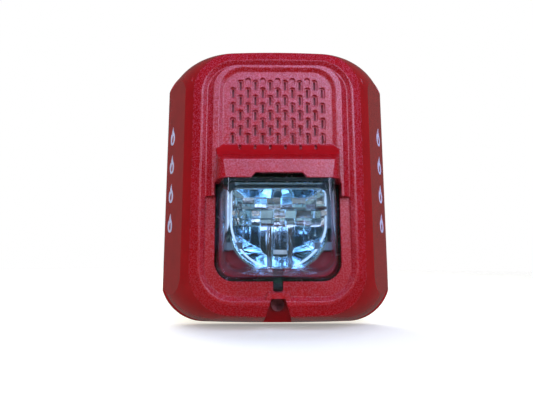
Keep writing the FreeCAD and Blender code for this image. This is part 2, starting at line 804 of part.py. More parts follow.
def terminal_block():
    body = block("block_body", (-size("block_half_width"), size("block_half_width")),
                 (size("plate_thickness") + 0.05, size("block_depth")),
                 (size("block_low"), size("block_high")))
    removed = []
    for i, x in enumerate(terminal_places(), start=1):
        removed.append(block(f"cell_{i}", (x - 3.9, x + 3.9), (3.0, 12.0), (-16.0, -4.0)))
        removed.append(block(f"wire_entry_{i}", (x - 1.9, x + 1.9), (3.9, 7.6), (-18.0, -15.0)))
    return cut("terminal_block", body, fuse("cells", *removed))


def terminal_contacts():
    """Four brass strips, each with a screw hole and a pair of prongs for the head's blade."""
    strips = []
    back, front = size("contact_back"), size("contact_back") + size("contact_thickness")
    for i, x in enumerate(terminal_places(), start=1):
        strip = fuse(f"contact_solid_{i}", block(f"strip_{i}", (x - 3.4, x + 3.4), (back, front),
                                                 (-15.6, -4.4)),
                     block(f"prong_a_{i}", (x - 1.4, x - 0.9), (back, 7.8), (-7.8, -4.6)),
                     block(f"prong_b_{i}", (x + 0.9, x + 1.4), (back, 7.8), (-7.8, -4.6)))
        hole = round_bar(f"contact_hole_{i}", (x, size("terminal_height")),
                         size("clamp_screw_radius") + 0.35, 1.0, 5.0)
        strips.append(cut(f"contact_{i}", strip, hole))
    return part("Compound", "terminal_contacts", Links=strips)


def terminal_clamp(i, x):
    z, half = size("terminal_height"), size("clamp_half")
    back = size("clamp_back")
    plate = block(f"clamp_plate_{i}", (x - half, x + half), (back, back + size("clamp_thickness")),
                  (z - half, z + half))
    hole = round_bar(f"clamp_hole_{i}", (x, z), size("clamp_screw_radius") + 0.06, 1.0, 9.0)
    return cut(f"terminal_clamp_{i}", plate, hole)


def terminal_screw(i, x):
    seat = size("clamp_back") + size("clamp_thickness") + 0.06
    return cross_head_screw(f"terminal_screw_{i}", (x, size("terminal_height")),
                            size("clamp_screw_radius"), 3.2, seat, size("clamp_head_radius"),
                            size("clamp_head_depth"), 3.6)


def shorting_spring():
    """Leaf that bridges the supervision terminals once the head is off."""
    top = size("block_high")
    return fuse("shorting_spring",
                block("spring_foot", (-8.0, 8.0), (2.5, 5.0), (top + 0.3, top + 0.7)),
                block("spring_leaf", (-8.0, 8.0), (4.6, 5.0), (top + 0.3, top + 7.5)))


def rear_cover():
    back, thickness = size("cover_back"), size("cover_thickness")
    front = back + thickness
    body = new_body("cover_form")
    edge = crowned_outline(body, "cover_edge", back, size("cover_half_width"), size("cover_half_height"),
                           size("cover_corner"), size("base_crown"))
    pad(body, edge, "cover_pad", thickness)
    added = [body, block("shunt_post", (-2.0, 2.0), (5.5, back + 0.1), (2.6, 4.0))]
    removed = [block("screw_gap", (-12.0, 12.0), (back - 1, front + 1), (-80.0, -52.5)),
               block("blade_gap", (-19.5, 19.5), (back - 1, front + 1), (-9.5, -2.5)),
               block("selector_gap", (-2.6, 2.6), (back - 1, front + 1), (-35.2, -22.8)),
               round_bar("dial_gap", (size("dial_x"), size("dial_z")), size("dial_radius") + 0.6,
                         back - 1, front + 1)]
    for sign in (1, -1):
        for level in ("high", "low"):
            centre = (size("post_x") * sign, size(f"post_{level}"))
            removed.append(round_bar(f"cover_hole_{sign}_{level}", centre,
                                     size("cover_screw_radius") + 0.3, back - 1, front + 1))
            added.append(round_bar(f"standoff_{sign}_{level}",
                                   (size("post_x") * sign * 0.8, size(f"post_{level}") * 0.85),
                                   2.2, front - 0.1, size("board_back")))
    return cut("rear_cover", fuse("cover_added", *added), fuse("cover_removed", *removed))


def cover_screws():
    screws = []
    for i in (1, -1):
        for level in ("high", "low"):
            centre = (size("post_x") * i, size(f"post_{level}"))
            back = size("cover_back")
            shank = round_bar(f"cover_shank_{i}_{level}", centre, size("cover_screw_radius"), back - 0.1, 19.0)
            head = round_bar(f"cover_head_{i}_{level}", centre, 2.4, back - 1.7, back)
            x, z = centre
            slot = fuse(f"cover_cross_{i}_{level}",
                        block(f"cover_cross_wide_{i}_{level}", (x - 1.6, x + 1.6), (back - 3, back - 0.9),
                              (z - 0.35, z + 0.35)),
                        block(f"cover_cross_tall_{i}_{level}", (x - 0.35, x + 0.35), (back - 3, back - 0.9),
                              (z - 1.6, z + 1.6)))
            screws.append(cut(f"cover_screw_{i}_{level}", fuse(f"cover_solid_{i}_{level}", shank, head), slot))
    return part("Compound", "cover_screws", Links=screws)


def circuit_board():
    back, front = size("board_back"), size("board_back") + size("board_thickness")
    board = tall_prism("board_form", size("board_half_width"), size("board_high"), size("board_low"),
                       back, front, 6.0, 6.0)
    removed = [block("board_selector_gap", (-2.6, 2.6), (back - 1, front + 1), (-35.2, -22.8))]
    for i, x in enumerate(terminal_places(), start=1):
        removed.append(block(f"board_blade_slot_{i}", (x - 0.5, x + 0.5), (back - 1, front + 1),
                             (size("blade_height") - 1.3, size("blade_height") + 1.3)))
    for sign in (1, -1):
        for level in ("high", "low"):
            removed.append(round_bar(f"board_hole_{sign}_{level}",
                                     (size("post_x") * sign, size(f"post_{level}")),
                                     size("post_radius") + 0.4, back - 1, front + 1))
    return cut("circuit_board", board, fuse("board_removed", *removed))


def plug_blades():
    z = size("blade_height")
    blades = [block(f"blade_{i}", (x - 0.4, x + 0.4), (5.0, 15.2), (z - 1.2, z + 1.2))
              for i, x in enumerate(terminal_places(), start=1)]
    return part("Compound", "plug_blades", Links=blades)


def board_front():
    return size("board_back") + size("board_thickness")


def flash_capacitor():
    x, depth, radius = 36.4, 19.2, 4.6
    can = upright_bar("capacitor_can", x, depth, radius, -22.0, 12.0)
    groove = cut("capacitor_groove", upright_bar("groove_outside", x, depth, radius + 1, 8.6, 9.8),
                 upright_bar("groove_inside", x, depth, radius - 0.5, 8.0, 10.5))
    leads = [block(f"capacitor_lead_{i}", (x - i - 0.3, x - i + 0.3), (board_front(), depth), (11.5, 12.6))
             for i in (-2, 2)]
    return fuse("flash_capacitor", cut("capacitor_body", can, groove), *leads)


def inductor():
    centre, front = (-35.0, -9.0), board_front()
    core = fuse("inductor_core", round_bar("core_foot", centre, 5.2, front, front + 1.6),
                round_bar("core_waist", centre, 2.8, front, front + 8.0),
                round_bar("core_cap", centre, 5.2, front + 6.4, front + 8.0))
    winding = cut("inductor_winding", round_bar("winding_outside", centre, 4.8, front + 1.7, front + 6.3),
                  round_bar("winding_inside", centre, 2.85, front, front + 8.0))
    return core, winding


def trigger_transformer():
    front = board_front()
    core = block("transformer_core", (-40.0, -29.5), (front, front + 8.2), (-34.0, -23.5))
    removed = [block("transformer_gap_high", (-41.0, -28.0), (front + 1.6, front + 6.6), (-26.0, -22.0)),
               block("transformer_gap_low", (-41.0, -28.0), (front + 1.6, front + 6.6), (-36.0, -31.5))]
    coil = upright_bar("transformer_coil", -34.75, front + 4.1, 3.9, -33.6, -23.9)
    return fuse("trigger_transformer", cut("transformer_frame", core, fuse("transformer_gaps", *removed)), coil)


def board_chips():
    front = board_front()
    spots = [(30.0, 37.0, 8.0, 6.0, 1.6), (-32.0, 33.0, 6.0, 9.0, 1.8), (28.0, -42.0, 5.0, 5.0, 1.4),
             (-14.0, -46.0, 9.0, 4.0, 1.5), (14.0, 2.0, 7.0, 5.0, 0.8), (-16.0, 3.0, 5.0, 4.0, 0.8),
             (36.0, 24.0, 4.0, 3.0, 2.2), (-38.0, 16.0, 4.5, 4.5, 2.4)]
    chips = [block(f"chip_{i}", (x - w / 2, x + w / 2), (front, front + deep), (z - tall / 2, z + tall / 2))
             for i, (x, z, w, tall, deep) in enumerate(spots)]
    return part("Compound", "board_chips", Links=chips)


def sounder():
    """Piezo sounder behind the grille: baffle, chamber, disc, ceramic and its two contacts."""
    z = size("sounder_height")
    centre = (0.0, z)
    back, front = size("chamber_back"), size("chamber_front")
    radius, wall = size("chamber_radius"), size("chamber_wall")
    baffle = tall_prism("baffle_plate", 26.6, 52.4, 9.2, front + 0.2, front + 1.2, 8.4, 2.0)
    vents = [round_bar(f"vent_{i}_{j}", (24.4 * i, 16.0 + j * 5.5), 0.9, front - 1, front + 2)
             for i in (1, -1) for j in range(7)]
    baffle = cut("sound_baffle", baffle, fuse("vents", *vents))
    step = size("disc_back")
    contact_a, contact_b = (17.6, z), (0.0, z + 8.0)
    hollow = fuse("chamber_hollow", round_bar("chamber_low", centre, size("disc_radius") - 1.2, back + wall, 30.0),
                  round_bar("chamber_high", centre, size("disc_radius") + 0.1, step, 30.0),
                  round_bar("contact_gap_a", contact_a, 1.0, 10.0, 20.0),
                  round_bar("contact_gap_b", contact_b, 1.0, 10.0, 20.0))
    chamber = cut("sound_chamber", round_bar("chamber_outside", centre, radius, back, front), hollow)
    disc = round_bar("piezo_disc", centre, size("disc_radius"), step, step + size("disc_thickness"))
    ceramic = round_bar("piezo_ceramic", centre, size("ceramic_radius"), step - 0.35, step)
    contacts = part("Compound", "piezo_contacts", Links=[
        round_bar("contact_a", contact_a, 0.5, board_front(), step),
        round_bar("contact_b", contact_b, 0.5, board_front(), step - 0.35)])
    return baffle, chamber, disc, ceramic, contacts


def lens():
    """Clear cover of the flash unit: tapered box, flange, prism ribs and the tongue in the ring."""
    body = new_body("lens_form")
    top, wall = size("lens_top"), size("lens_wall")
    back, front = size("lens_back"), size("lens_front")
    outer = [tall_outline(body, "lens_root", back, size("lens_half_width"), top, -size("lens_bottom"),
                          bottom_corner=size("lens_corner")),
             tall_outline(body, "lens_face", front, size("lens_front_half_width"), top,
                          -size("lens_front_bottom"), bottom_corner=size("lens_corner") - 1.2)]
    loft(body, "Additive", "lens_walls", *outer, ruled=True)
    face_y = -number(front)
    high = number(top)
    round_edges(body, "lens_nose", 3.2, lambda edge: all(
        abs(vertex.Y - face_y) < 0.01 for vertex in edge.Vertexes)
        and not all(abs(vertex.Z - high) < 0.01 for vertex in edge.Vertexes))
    flange = tall_outline(body, "lens_flange", size("flange_back"), size("flange_half_width"), top - 1.0,
                          -size("flange_bottom"), bottom_corner=size("lens_corner") + 2.0)
    pad(body, flange, "lens_flange_pad", back - 0.2 - size("flange_back"))
    bridge = tall_outline(body, "lens_bridge", size("flange_back"), size("lens_half_width"), top,
                          -size("lens_bottom"), bottom_corner=size("lens_corner"))
    pad(body, bridge, "lens_bridge_pad", back - size("flange_back") + 0.1)
    inner = [tall_outline(body, "lens_inner_root", size("flange_back") - 0.1, size("lens_half_width") - wall,
                          top - wall, -(size("lens_bottom") - wall), 2.0, size("lens_corner") - 1.4),
             tall_outline(body, "lens_inner_face", front - wall, size("lens_front_half_width") - wall + 0.6,
                          top - wall, -(size("lens_front_bottom") - wall + 0.5), 2.0,
                          size("lens_corner") - 2.4)]
    loft(body, "Subtractive", "lens_hollow", *inner, ruled=True)
    face = front - wall + 0.2
    rows = {
        # each row's top and foot, then each block's left, right, peak height and peak depth
        (-11.5, -17.1): ((-20.5, -16.2, -13.0, 2.6), (-15.9, -11.0, -15.6, 3.4), (-10.7, -5.6, -13.4, 3.0),
                         (-5.3, 0.3, -15.2, 2.4), (0.6, 5.4, -13.0, 3.4), (5.7, 11.2, -15.8, 2.8),
                         (11.5, 15.8, -13.6, 3.4), (16.1, 20.5, -15.4, 2.6)),
        (-17.3, -24.5): ((-20.5, -17.4, -19.2, 3.0), (-17.1, -12.2, -22.6, 3.4), (-11.9, -8.4, -19.6, 2.4),
                         (-8.1, -2.6, -21.4, 3.4), (-2.3, 2.3, -20.0, 3.6), (2.6, 7.0, -22.4, 2.6),
                         (7.3, 13.4, -20.0, 3.4), (13.7, 17.6, -22.2, 2.6), (17.9, 20.5, -19.4, 3.2)),
    }
    ribs = [side_prism(f"prism_{number(high_z):.0f}_{i}",
                       [(face, high_z), (face, low_z), (face - reach, peak)], half_width=(right - left) / 2,
                       middle=(left + right) / 2)
            for (high_z, low_z), blocks in rows.items()
            for i, (left, right, peak, reach) in enumerate(blocks)]
    column = common("lens_column", upright_bar("lens_column_bar", 0.0, face + 1.2, 5.6, -41.5, -24.4),
                    block("lens_column_space", (-7.0, 7.0), (30.0, face + 0.5), (-45.0, -20.0)))
    ribs += [column,
             block("lens_rib_left", (-19.0, -18.2), (face - 3.0, face + 0.3), (-31.0, -6.0)),
             block("lens_rib_right", (15.6, 16.3), (face - 2.6, face + 0.3), (-11.6, -6.0))]
    crown = side_prism("lens_crown_rib", [(front - 0.2, -11.8), (size("lens_crown"), -15.2),
                                          (size("lens_crown"), -21.0), (front - 0.2, -24.2)], 19.0)
    tongue = block("lens_tongue", (-1.8, 1.8), (25.8, 30.2), (-52.6, -46.6))
    key = block("lens_top_key", (-20.0, 20.0), (37.0, 39.5), (top - 0.1, 2.4))
    return fuse("lens", body, *ribs, crown, tongue, key)


def reflector():
    """Chrome trough round the flash tube, with a window on each side and legs to the board."""
    body = new_body("reflector_form")
    front, back = size("reflector_front"), size("reflector_back")
    sections = []
    for name, inset, depth, half, top, bottom, high_corner, low_corner in (
            ("mouth", 0.0, front, size("reflector_half_width"), -5.6, size("reflector_bottom"), 4.0, 17.0),
            ("root", 0.0, back, size("reflector_back_half_width"), -12.0, size("reflector_bottom") - 4.4,
             3.0, 6.0)):
        sections.append(tall_outline(body, f"reflector_{name}", depth, half, top, -bottom,
                                     high_corner, low_corner))
    loft(body, "Additive", "reflector_outside", *sections, ruled=True)
    wall = 1.0
    hollow = [tall_outline(body, "reflector_inner_mouth", front, size("reflector_half_width") - wall,
                           -5.6 - wall, -(size("reflector_bottom") - wall), 3.2, 16.2),
              tall_outline(body, "reflector_inner_root", back + wall,
                           size("reflector_back_half_width") - wall * 0.6, -12.0 - wall,
                           -(size("reflector_bottom") - 4.4 - wall), 2.4, 5.4)]
    loft(body, "Subtractive", "reflector_inside", *hollow, ruled=True)
    x, z = size("window_place"), size("window_height")
    removed = [block(f"window_{sign}", sorted((x * sign - 1.5, x * sign + 1.5), key=number), (20.0, 34.0),
                     (z - 1.5, z + 1.5)) for sign in (1, -1)]
    removed += [round_bar(f"lead_hole_{i}", (0.0, height), 0.9, 18.0, 24.0)
                for i, height in enumerate((size("tube_low") + 1.0, size("tube_high") - 1.0, -20.0))]
    legs = [block(f"reflector_leg_{i}_{level}", (4.5 * i - 0.8, 4.5 * i + 0.8), (board_front(), back + 0.2),
                  (height - 1.0, height + 1.0)) for i in (1, -1) for level, height in (("high", -16.0),
                                                                                      ("low", -36.6))]
    return cut("reflector", fuse("reflector_solid", body, *legs), fuse("reflector_gaps", *removed))


def reflector_frame():
    """Dark plate behind the lens that holds the reflector off the board on four legs."""
    back, thickness = size("frame_back"), size("frame_thickness")
    plate = tall_prism("frame_plate", size("frame_half_width"), -4.6, -46.6, back, back + thickness,
                       3.0, 7.0)
    opening = tall_prism("frame_opening", 10.8, -11.0, -39.2, back - 1.0, back + 3.0, 2.6, 6.0)
    z = size("window_height")
    slots = [block(f"frame_slot_{side}", sorted((22.8 * side, 25.6 * side)), (back - 1.0, back + 3.0),
                   (z - 2.6, z + size("candela_travel") + 2.6)) for side in (1, -1)]
    legs = [round_bar(f"frame_leg_{side}_{level}", (24.0 * side, height), 1.5, board_front(), back + 0.2)
            for side in (1, -1) for level, height in (("high", -8.0), ("low", -42.0))]
    return fuse("reflector_frame", cut("frame_sheet", plate, fuse("frame_gaps", opening, *slots)), *legs)


def flash_tube():
    depth, radius = size("tube_depth"), size("tube_radius")
    low, high = size("tube_low"), size("tube_high")
    glass = cut("flash_tube", upright_bar("glass_outside", 0.0, depth, radius, low + 2.0, high - 2.0),
                upright_bar("glass_inside", 0.0, depth, radius - 0.5, low, high))
    caps = []
    for name, start, end, lead in (("low", low, low + 2.0, low + 1.0), ("high", high - 2.0, high, high - 1.0)):
        cap = upright_bar(f"{name}_cap", 0.0, depth, radius, start, end)
        wire = round_bar(f"{name}_lead", (0.0, lead), 0.5, board_front(), depth)
        caps.append(fuse(f"{name}_electrode", cap, wire))
    electrodes = part("Compound", "tube_electrodes", Links=caps)
    band = cut("trigger_band", upright_bar("band_outside", 0.0, depth, radius + 0.3, -20.6, -19.4),
               upright_bar("band_inside", 0.0, depth, radius + 0.02, -21.0, -19.0))
    wire = round_bar("band_lead", (0.0, -20.0), 0.4, board_front(), depth - radius - 0.1)
    return glass, electrodes, fuse("trigger_wire", band, wire)


def candela_selector():
    """Slide carriage: knob behind the cover, stem through the board, a flag at each window."""
    z = size("window_height")
    pieces = [block("selector_knob", (-3.8, 3.8), (7.4, 9.2), (z - 2.8, z + 2.8)),
              block("selector_stem", (-2.0, 2.0), (9.0, 16.4), (z - 1.8, z + 1.8)),
              block("selector_bar", (-25.0, 25.0), (16.2, 18.2), (z - 1.8, z + 1.8))]
    for side, sign in (("right", 1), ("left", -1)):
        pieces.append(block(f"selector_arm_{side}", sorted((23.4 * sign, 25.0 * sign)), (18.0, 28.6),
                            (z - 1.8, z + 1.8)))
        pieces.append(block(f"selector_flag_{side}", sorted((16.9 * sign, 23.6 * sign)), (27.8, 28.6),
                            (z - 1.8, z + 1.8)))
    return fuse("candela_selector", *pieces)


def tone_selector():
    centre = (size("dial_x"), size("dial_z"))
    x, z = centre
    radius = size("dial_radius")
    base = cut("dial_base", block("dial_base_body", (x - 6.0, x + 6.0), (11.2, size("board_back")),
                                  (z - 6.0, z + 6.0)),
               round_bar("dial_base_bore", centre, radius + 0.3, 10.0, 13.0))
    dial = cut("tone_selector", round_bar("dial_body", centre, radius, 8.2, size("board_back") - 0.1),
               fuse("dial_marks", block("dial_slot", (x - 0.5, x + 0.5), (7.0, 9.2), (z - 3.4, z + 3.4)),
                    block("dial_arrow", (x - 1.5, x + 1.5), (7.0, 9.2), (z + 1.4, z + 2.3))))
    return base, dial


def build_parts():
    parts = [hooked_housing(), lens(), reflector(), reflector_frame(), *flash_tube(), *sounder(), circuit_board(),
             flash_capacitor(), *inductor(), trigger_transformer(), board_chips(), plug_blades(),
             rear_cover(), cover_screws(), candela_selector(), *tone_selector(), captive_screw(),
             washer("screw_retainer", (0.0, size("screw_height")), size("retainer_radius"),
                    size("screw_radius") + 0.05, size("retainer_back"), size("retainer_thickness")),
             mounting_plate(), screw_insert(), terminal_block(), terminal_contacts(), shorting_spring()]
    for i, x in enumerate(terminal_places(), start=1):
        parts += [terminal_clamp(i, x), terminal_screw(i, x)]
    return parts


def write_parts(parts):
    doc.recompute()
    failed = [item.Label for item in doc.Objects if {"Invalid", "Error"} & set(item.State)]
    if failed:
        raise RuntimeError(f"failed objects: {failed}")
    os.makedirs("parts", exist_ok=True)
    for item in parts:
        shape = item.Shape
        if shape.isNull() or not shape.isValid() or not shape.Solids:
            raise RuntimeError(f"{item.Label} has no valid solid")
        print(f"{item.Label}: {len(shape.Solids)} solid(s), {shape.Volume:.0f} mm3")
        shape.exportStep(f"parts/{item.Label}.step")


write_parts(build_parts())
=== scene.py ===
import bpy
import bmesh
import json
from mathutils import Matrix, Vector


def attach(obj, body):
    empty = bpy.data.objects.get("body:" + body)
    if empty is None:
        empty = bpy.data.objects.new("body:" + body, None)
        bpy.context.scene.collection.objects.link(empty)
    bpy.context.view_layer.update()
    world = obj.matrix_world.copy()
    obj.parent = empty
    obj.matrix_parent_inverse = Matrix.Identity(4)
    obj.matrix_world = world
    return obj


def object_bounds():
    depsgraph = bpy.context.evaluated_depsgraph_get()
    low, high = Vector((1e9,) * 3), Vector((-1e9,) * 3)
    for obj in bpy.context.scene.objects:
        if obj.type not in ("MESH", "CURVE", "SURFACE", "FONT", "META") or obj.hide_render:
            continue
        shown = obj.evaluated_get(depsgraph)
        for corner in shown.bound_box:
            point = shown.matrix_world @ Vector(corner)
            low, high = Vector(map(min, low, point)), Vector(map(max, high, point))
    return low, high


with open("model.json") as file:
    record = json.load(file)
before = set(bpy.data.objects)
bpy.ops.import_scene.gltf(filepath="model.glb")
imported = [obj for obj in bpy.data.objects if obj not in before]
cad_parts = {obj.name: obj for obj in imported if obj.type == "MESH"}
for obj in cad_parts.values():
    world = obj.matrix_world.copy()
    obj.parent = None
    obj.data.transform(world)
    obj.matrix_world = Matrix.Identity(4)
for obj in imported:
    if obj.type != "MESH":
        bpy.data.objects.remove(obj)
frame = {"nodes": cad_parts, "record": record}
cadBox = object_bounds()
mm = 0.001
scene = bpy.context.scene


# a socket's value on its way through a material: arithmetic on it adds Math nodes
class Wire:
    def __init__(self, finish, socket):
        self.finish = finish
        self.socket = socket

    def calc(self, operation, *others):
        sockets = dict(enumerate((self, *others)))
        return self.finish.node("ShaderNodeMath", {"operation": operation}, sockets)

    def __add__(self, other):
        return self.calc("ADD", other)

    def __mul__(self, other):
        return self.calc("MULTIPLY", other)

    def __sub__(self, other):
        return self.calc("SUBTRACT", other)

    def __rsub__(self, other):
        return self.finish.node("ShaderNodeMath", {"operation": "SUBTRACT"}, {0: other, 1: self})

    __radd__ = __add__
    __rmul__ = __mul__

    # 0 below low, 1 above high, smooth between
    def over(self, low, high):
        return self.finish.node("ShaderNodeMapRange", {"interpolation_type": "SMOOTHSTEP"},
                                {"Value": self, "From Min": low, "From Max": high})


# the nodes of a material, or of the world, under construction
class Finish:
    def __init__(self, name, owner=None):
        self.owner = owner or bpy.data.materials.new(name)
        self.owner.use_nodes = True
        self.tree = self.owner.node_tree
        self.tree.nodes.clear()
        self.place = self.node("ShaderNodeTexCoord", output="Object")

    def node(self, kind, settings=None, sockets=None, output=0):
        made = self.tree.nodes.new(kind)
        for name, value in (settings or {}).items():
            setattr(made, name, value)
        for name, value in (sockets or {}).items():
            if isinstance(value, Wire):
                self.tree.links.new(value.socket, made.inputs[name])
            else:
                made.inputs[name].default_value = value
        return Wire(self, made.outputs[output])

    def noise(self, scale, detail=2.0, roughness=0.5, place=None):
        return self.node("ShaderNodeTexNoise", {}, {"Vector": place or self.place, "Scale": scale,
                                                    "Detail": detail, "Roughness": roughness})

    def cells(self, scale):
        return self.node("ShaderNodeTexVoronoi", {}, {"Vector": self.place, "Scale": scale})

    def axis(self, name, vector=None):
        return self.node("ShaderNodeSeparateXYZ", {}, {"Vector": vector or self.place}, output=name)

    def facing(self, name):
        return self.axis(name, self.node("ShaderNodeNewGeometry", output="Normal"))

    def blend(self, factor, first, second):
        return self.node("ShaderNodeMix", {"data_type": "RGBA"}, {0: factor, 6: first, 7: second}, output=2)

    def bump(self, height, distance, strength=1.0, normal=None):
        sockets = {"Height": height, "Distance": distance, "Strength": strength}
        if normal:
            sockets["Normal"] = normal
        return self.node("ShaderNodeBump", {}, sockets)

    def roundedEdge(self, radius):
        return self.node("ShaderNodeBevel", {"samples": 6}, {"Radius": radius})

    def principled(self, sockets):
        return self.node("ShaderNodeBsdfPrincipled", {}, sockets)

    def surface(self, shader, kind="ShaderNodeOutputMaterial"):
        end = self.tree.nodes.new(kind)
        self.tree.links.new(shader.socket, end.inputs["Surface"])
        return self.owner


def colour(red, green, blue):
    # screen values 0 to 255 to linear light
    def linear(level):
        level = level / 255
        return level / 12.92 if level <= 0.04045 else ((level + 0.055) / 1.055) ** 2.4
    return (linear(red), linear(green), linear(blue), 1.0)


black = colour(0, 0, 0)
white = colour(255, 255, 255)
cloudy = (0.3, 0.75)     # where a soft noise goes over from one tone to the other

plastic = {"mottle": 90, "roughVaries": 0.12, "grainStrength": 0.7, "refraction": 1.5}

redShell = {
    "red": colour(156, 7, 14), "deep": colour(146, 5, 11), "paintedSheenTone": colour(190, 84, 112),
    # the moulded grain covers what lies in front of this depth, but not the slope above the visor
    "frontDepth": 27.45 * mm, "frontFade": 0.35 * mm,
    "slopeDepth": 31.3 * mm, "slopeFade": 0.3 * mm, "slopeTop": 16.9 * mm, "slopeTopFade": 0.4 * mm,
    "slopeFacing": (0.3, 0.42),
    "fineGrain": 1500, "fineShare": 0.6, "coarseGrain": 1250, "coarseShare": 0.55,
    "grainDepth": 0.13 * mm, "grainStrength": 0.9,
    "peel": 420, "peelDepth": 0.015 * mm, "peelStrength": 0.3, "mottle": 120,
    # painted sheen: pale lavender specks that follow the moulded grain, stronger towards the top where the
    # grain would catch the light
    "paintedSheenFrom": -60 * mm, "paintedSheenTo": 50 * mm, "paintedSheenLeast": 0.12, "paintedSheenRise": 0.30,
    "paintedSheenGrain": (0.50, 0.62),
    "roughFront": 0.17, "roughFlank": 0.20, "roughMottle": 0.04,
    "roughSpeck": 0.14, "roughGrain": (0.36, 0.62),
    "edge": 0.7 * mm, "gloss": 0.62,
}


def makeRedShell():
    kit = redShell
    finish = Finish("redShell")
    depth = 0.0 - finish.axis("Y")
    height = finish.axis("Z")
    belowTop = 1.0 - height.over(kit["slopeTop"], kit["slopeTop"] + kit["slopeTopFade"])
    pastRing = depth.over(kit["slopeDepth"], kit["slopeDepth"] + kit["slopeFade"])
    slope = finish.facing("Z").over(*kit["slopeFacing"]) * pastRing * belowTop
    grained = depth.over(kit["frontDepth"], kit["frontDepth"] + kit["frontFade"]) * (1.0 - slope)
    fine = finish.noise(kit["fineGrain"], 3.0, 0.6)
    grain = fine * kit["fineShare"] + finish.cells(kit["coarseGrain"]) * kit["coarseShare"]
    mottled = finish.noise(kit["mottle"], 4.0, 0.6)
    tone = finish.blend(mottled.over(*cloudy), kit["deep"], kit["red"])
    # painted sheen in the base colour: the pale specks on the grain grow lighter towards the top
    paintedSheen = height.over(kit["paintedSheenFrom"], kit["paintedSheenTo"]) * kit["paintedSheenRise"] + kit["paintedSheenLeast"]
    tone = finish.blend(fine.over(*kit["paintedSheenGrain"]) * grained * paintedSheen, tone, kit["paintedSheenTone"])
    rougher = fine.over(*kit["roughGrain"]) * kit["roughSpeck"] + (kit["roughFront"] - kit["roughFlank"])
    rough = kit["roughFlank"] + grained * rougher + mottled * kit["roughMottle"]
    normal = finish.roundedEdge(kit["edge"])
    normal = finish.bump(grain * grained, kit["grainDepth"], kit["grainStrength"], normal)
    normal = finish.bump(finish.noise(kit["peel"]), kit["peelDepth"], kit["peelStrength"], normal)
    return finish.surface(finish.principled({"Base Color": tone, "Roughness": rough, "Normal": normal,
                                             "IOR": plastic["refraction"],
                                             "Specular IOR Level": kit["gloss"]}))


# grainScale per metre, grainDepth in millimetres
def makePlastic(name, base, dark, rough, grainScale=1800, grainDepth=0.03):
    finish = Finish(name)
    mottled = finish.noise(plastic["mottle"], 4.0, 0.6)
    tone = finish.blend(mottled.over(*cloudy), dark, base)
    least = rough - plastic["roughVaries"] / 2
    normal = finish.bump(finish.noise(grainScale), grainDepth * mm, plastic["grainStrength"])
    return finish.surface(finish.principled({"Base Color": tone,
                                             "Roughness": mottled * plastic["roughVaries"] + least,
                                             "Normal": normal, "IOR": plastic["refraction"]}))


metal = {"stain": 140, "stained": (0.35, 0.75), "roughLines": 0.18, "roughStain": 0.05,
         "lineDepth": 0.01 * mm, "lineStrength": 0.6}


# brush: lines per metre along x, y and z
def makeMetal(name, base, dark, rough, brush=(900, 900, 90)):
    finish = Finish(name)
    stretched = finish.node("ShaderNodeVectorMath", {"operation": "MULTIPLY"}, {0: finish.place, 1: brush})
    lines = finish.noise(1.0, 3.0, 0.6, stretched)
    stain = finish.noise(metal["stain"], 3.0)
    tone = finish.blend(stain.over(*metal["stained"]), base, dark)
    least = rough - metal["roughLines"] / 2
    uneven = lines * metal["roughLines"] + least + stain * metal["roughStain"]
    normal = finish.bump(lines, metal["lineDepth"], metal["lineStrength"])
    return finish.surface(finish.principled({"Base Color": tone, "Metallic": 1.0,
                                             "Roughness": uneven, "Normal": normal}))


# the U outline of the reflector: a half circle below this height, straight sides above it
cup = {
    "centre": -20.8 * mm, "radius": 22.0 * mm,
    # painted highlight: a pale, rough, non-metal band just inside the U, standing in for the bright line
    # that the reflector's mouth catches
    "highlightRimFrom": (-1.1 * mm, -0.8 * mm), "highlightRimTo": (-0.2 * mm, 0.1 * mm),
    "highlightRimTone": colour(236, 242, 250), "highlightRimRough": 0.3,
    "silver": colour(206, 230, 240), "smear": colour(160, 194, 214),
    "smears": 320, "smearTone": (0.4, 0.8), "smearRough": (0.45, 0.85), "rough": 0.04, "roughSmear": 0.10,
    "ripples": 120, "rippleDepth": 0.12 * mm, "rippleStrength": 0.5, "edge": 0.6 * mm,
    "bend": (-0.01 * mm, 0.01 * mm),
}


# how far outside that U, in metres
def outsideU(finish):
    drop = finish.axis("Z") - cup["centre"]
    drop = drop * (1.0 - drop.over(*cup["bend"]))
    across = finish.axis("X")
    return finish.node("ShaderNodeMath", {"operation": "SQRT"},
                       {0: across * across + drop * drop}) - cup["radius"]


def makeMirror():
    finish = Finish("mirrorChrome")
    smear = finish.noise(cup["smears"], 4.0, 0.65)
    tone = finish.blend(smear.over(*cup["smearTone"]), cup["silver"], cup["smear"])
    beyond = outsideU(finish)
    # painted highlight along the edge of the U: pale tone, rougher and no longer metal
    highlightRim = beyond.over(*cup["highlightRimFrom"]) * (1.0 - beyond.over(*cup["highlightRimTo"]))
    tone = finish.blend(highlightRim, tone, cup["highlightRimTone"])
    rough = cup["rough"] + smear.over(*cup["smearRough"]) * cup["roughSmear"] + highlightRim * cup["highlightRimRough"]
    normal = finish.bump(finish.noise(cup["ripples"]), cup["rippleDepth"], cup["rippleStrength"],
                         finish.roundedEdge(cup["edge"]))
    return finish.surface(finish.principled({"Base Color": tone, "Metallic": 1.0 - highlightRim,
                                             "Roughness": rough, "Normal": normal}))


framePlate = {
    "grey": colour(84, 96, 112), "pale": colour(112, 126, 142), "red": colour(132, 30, 38),
    "redBeyond": (0.5 * mm, 4.0 * mm), "redBelow": (-34 * mm, -22 * mm),
    "mottle": 90, "rough": 0.16, "roughMottle": 0.10, "waveDepth": 0.04 * mm, "waveStrength": 0.5,
}


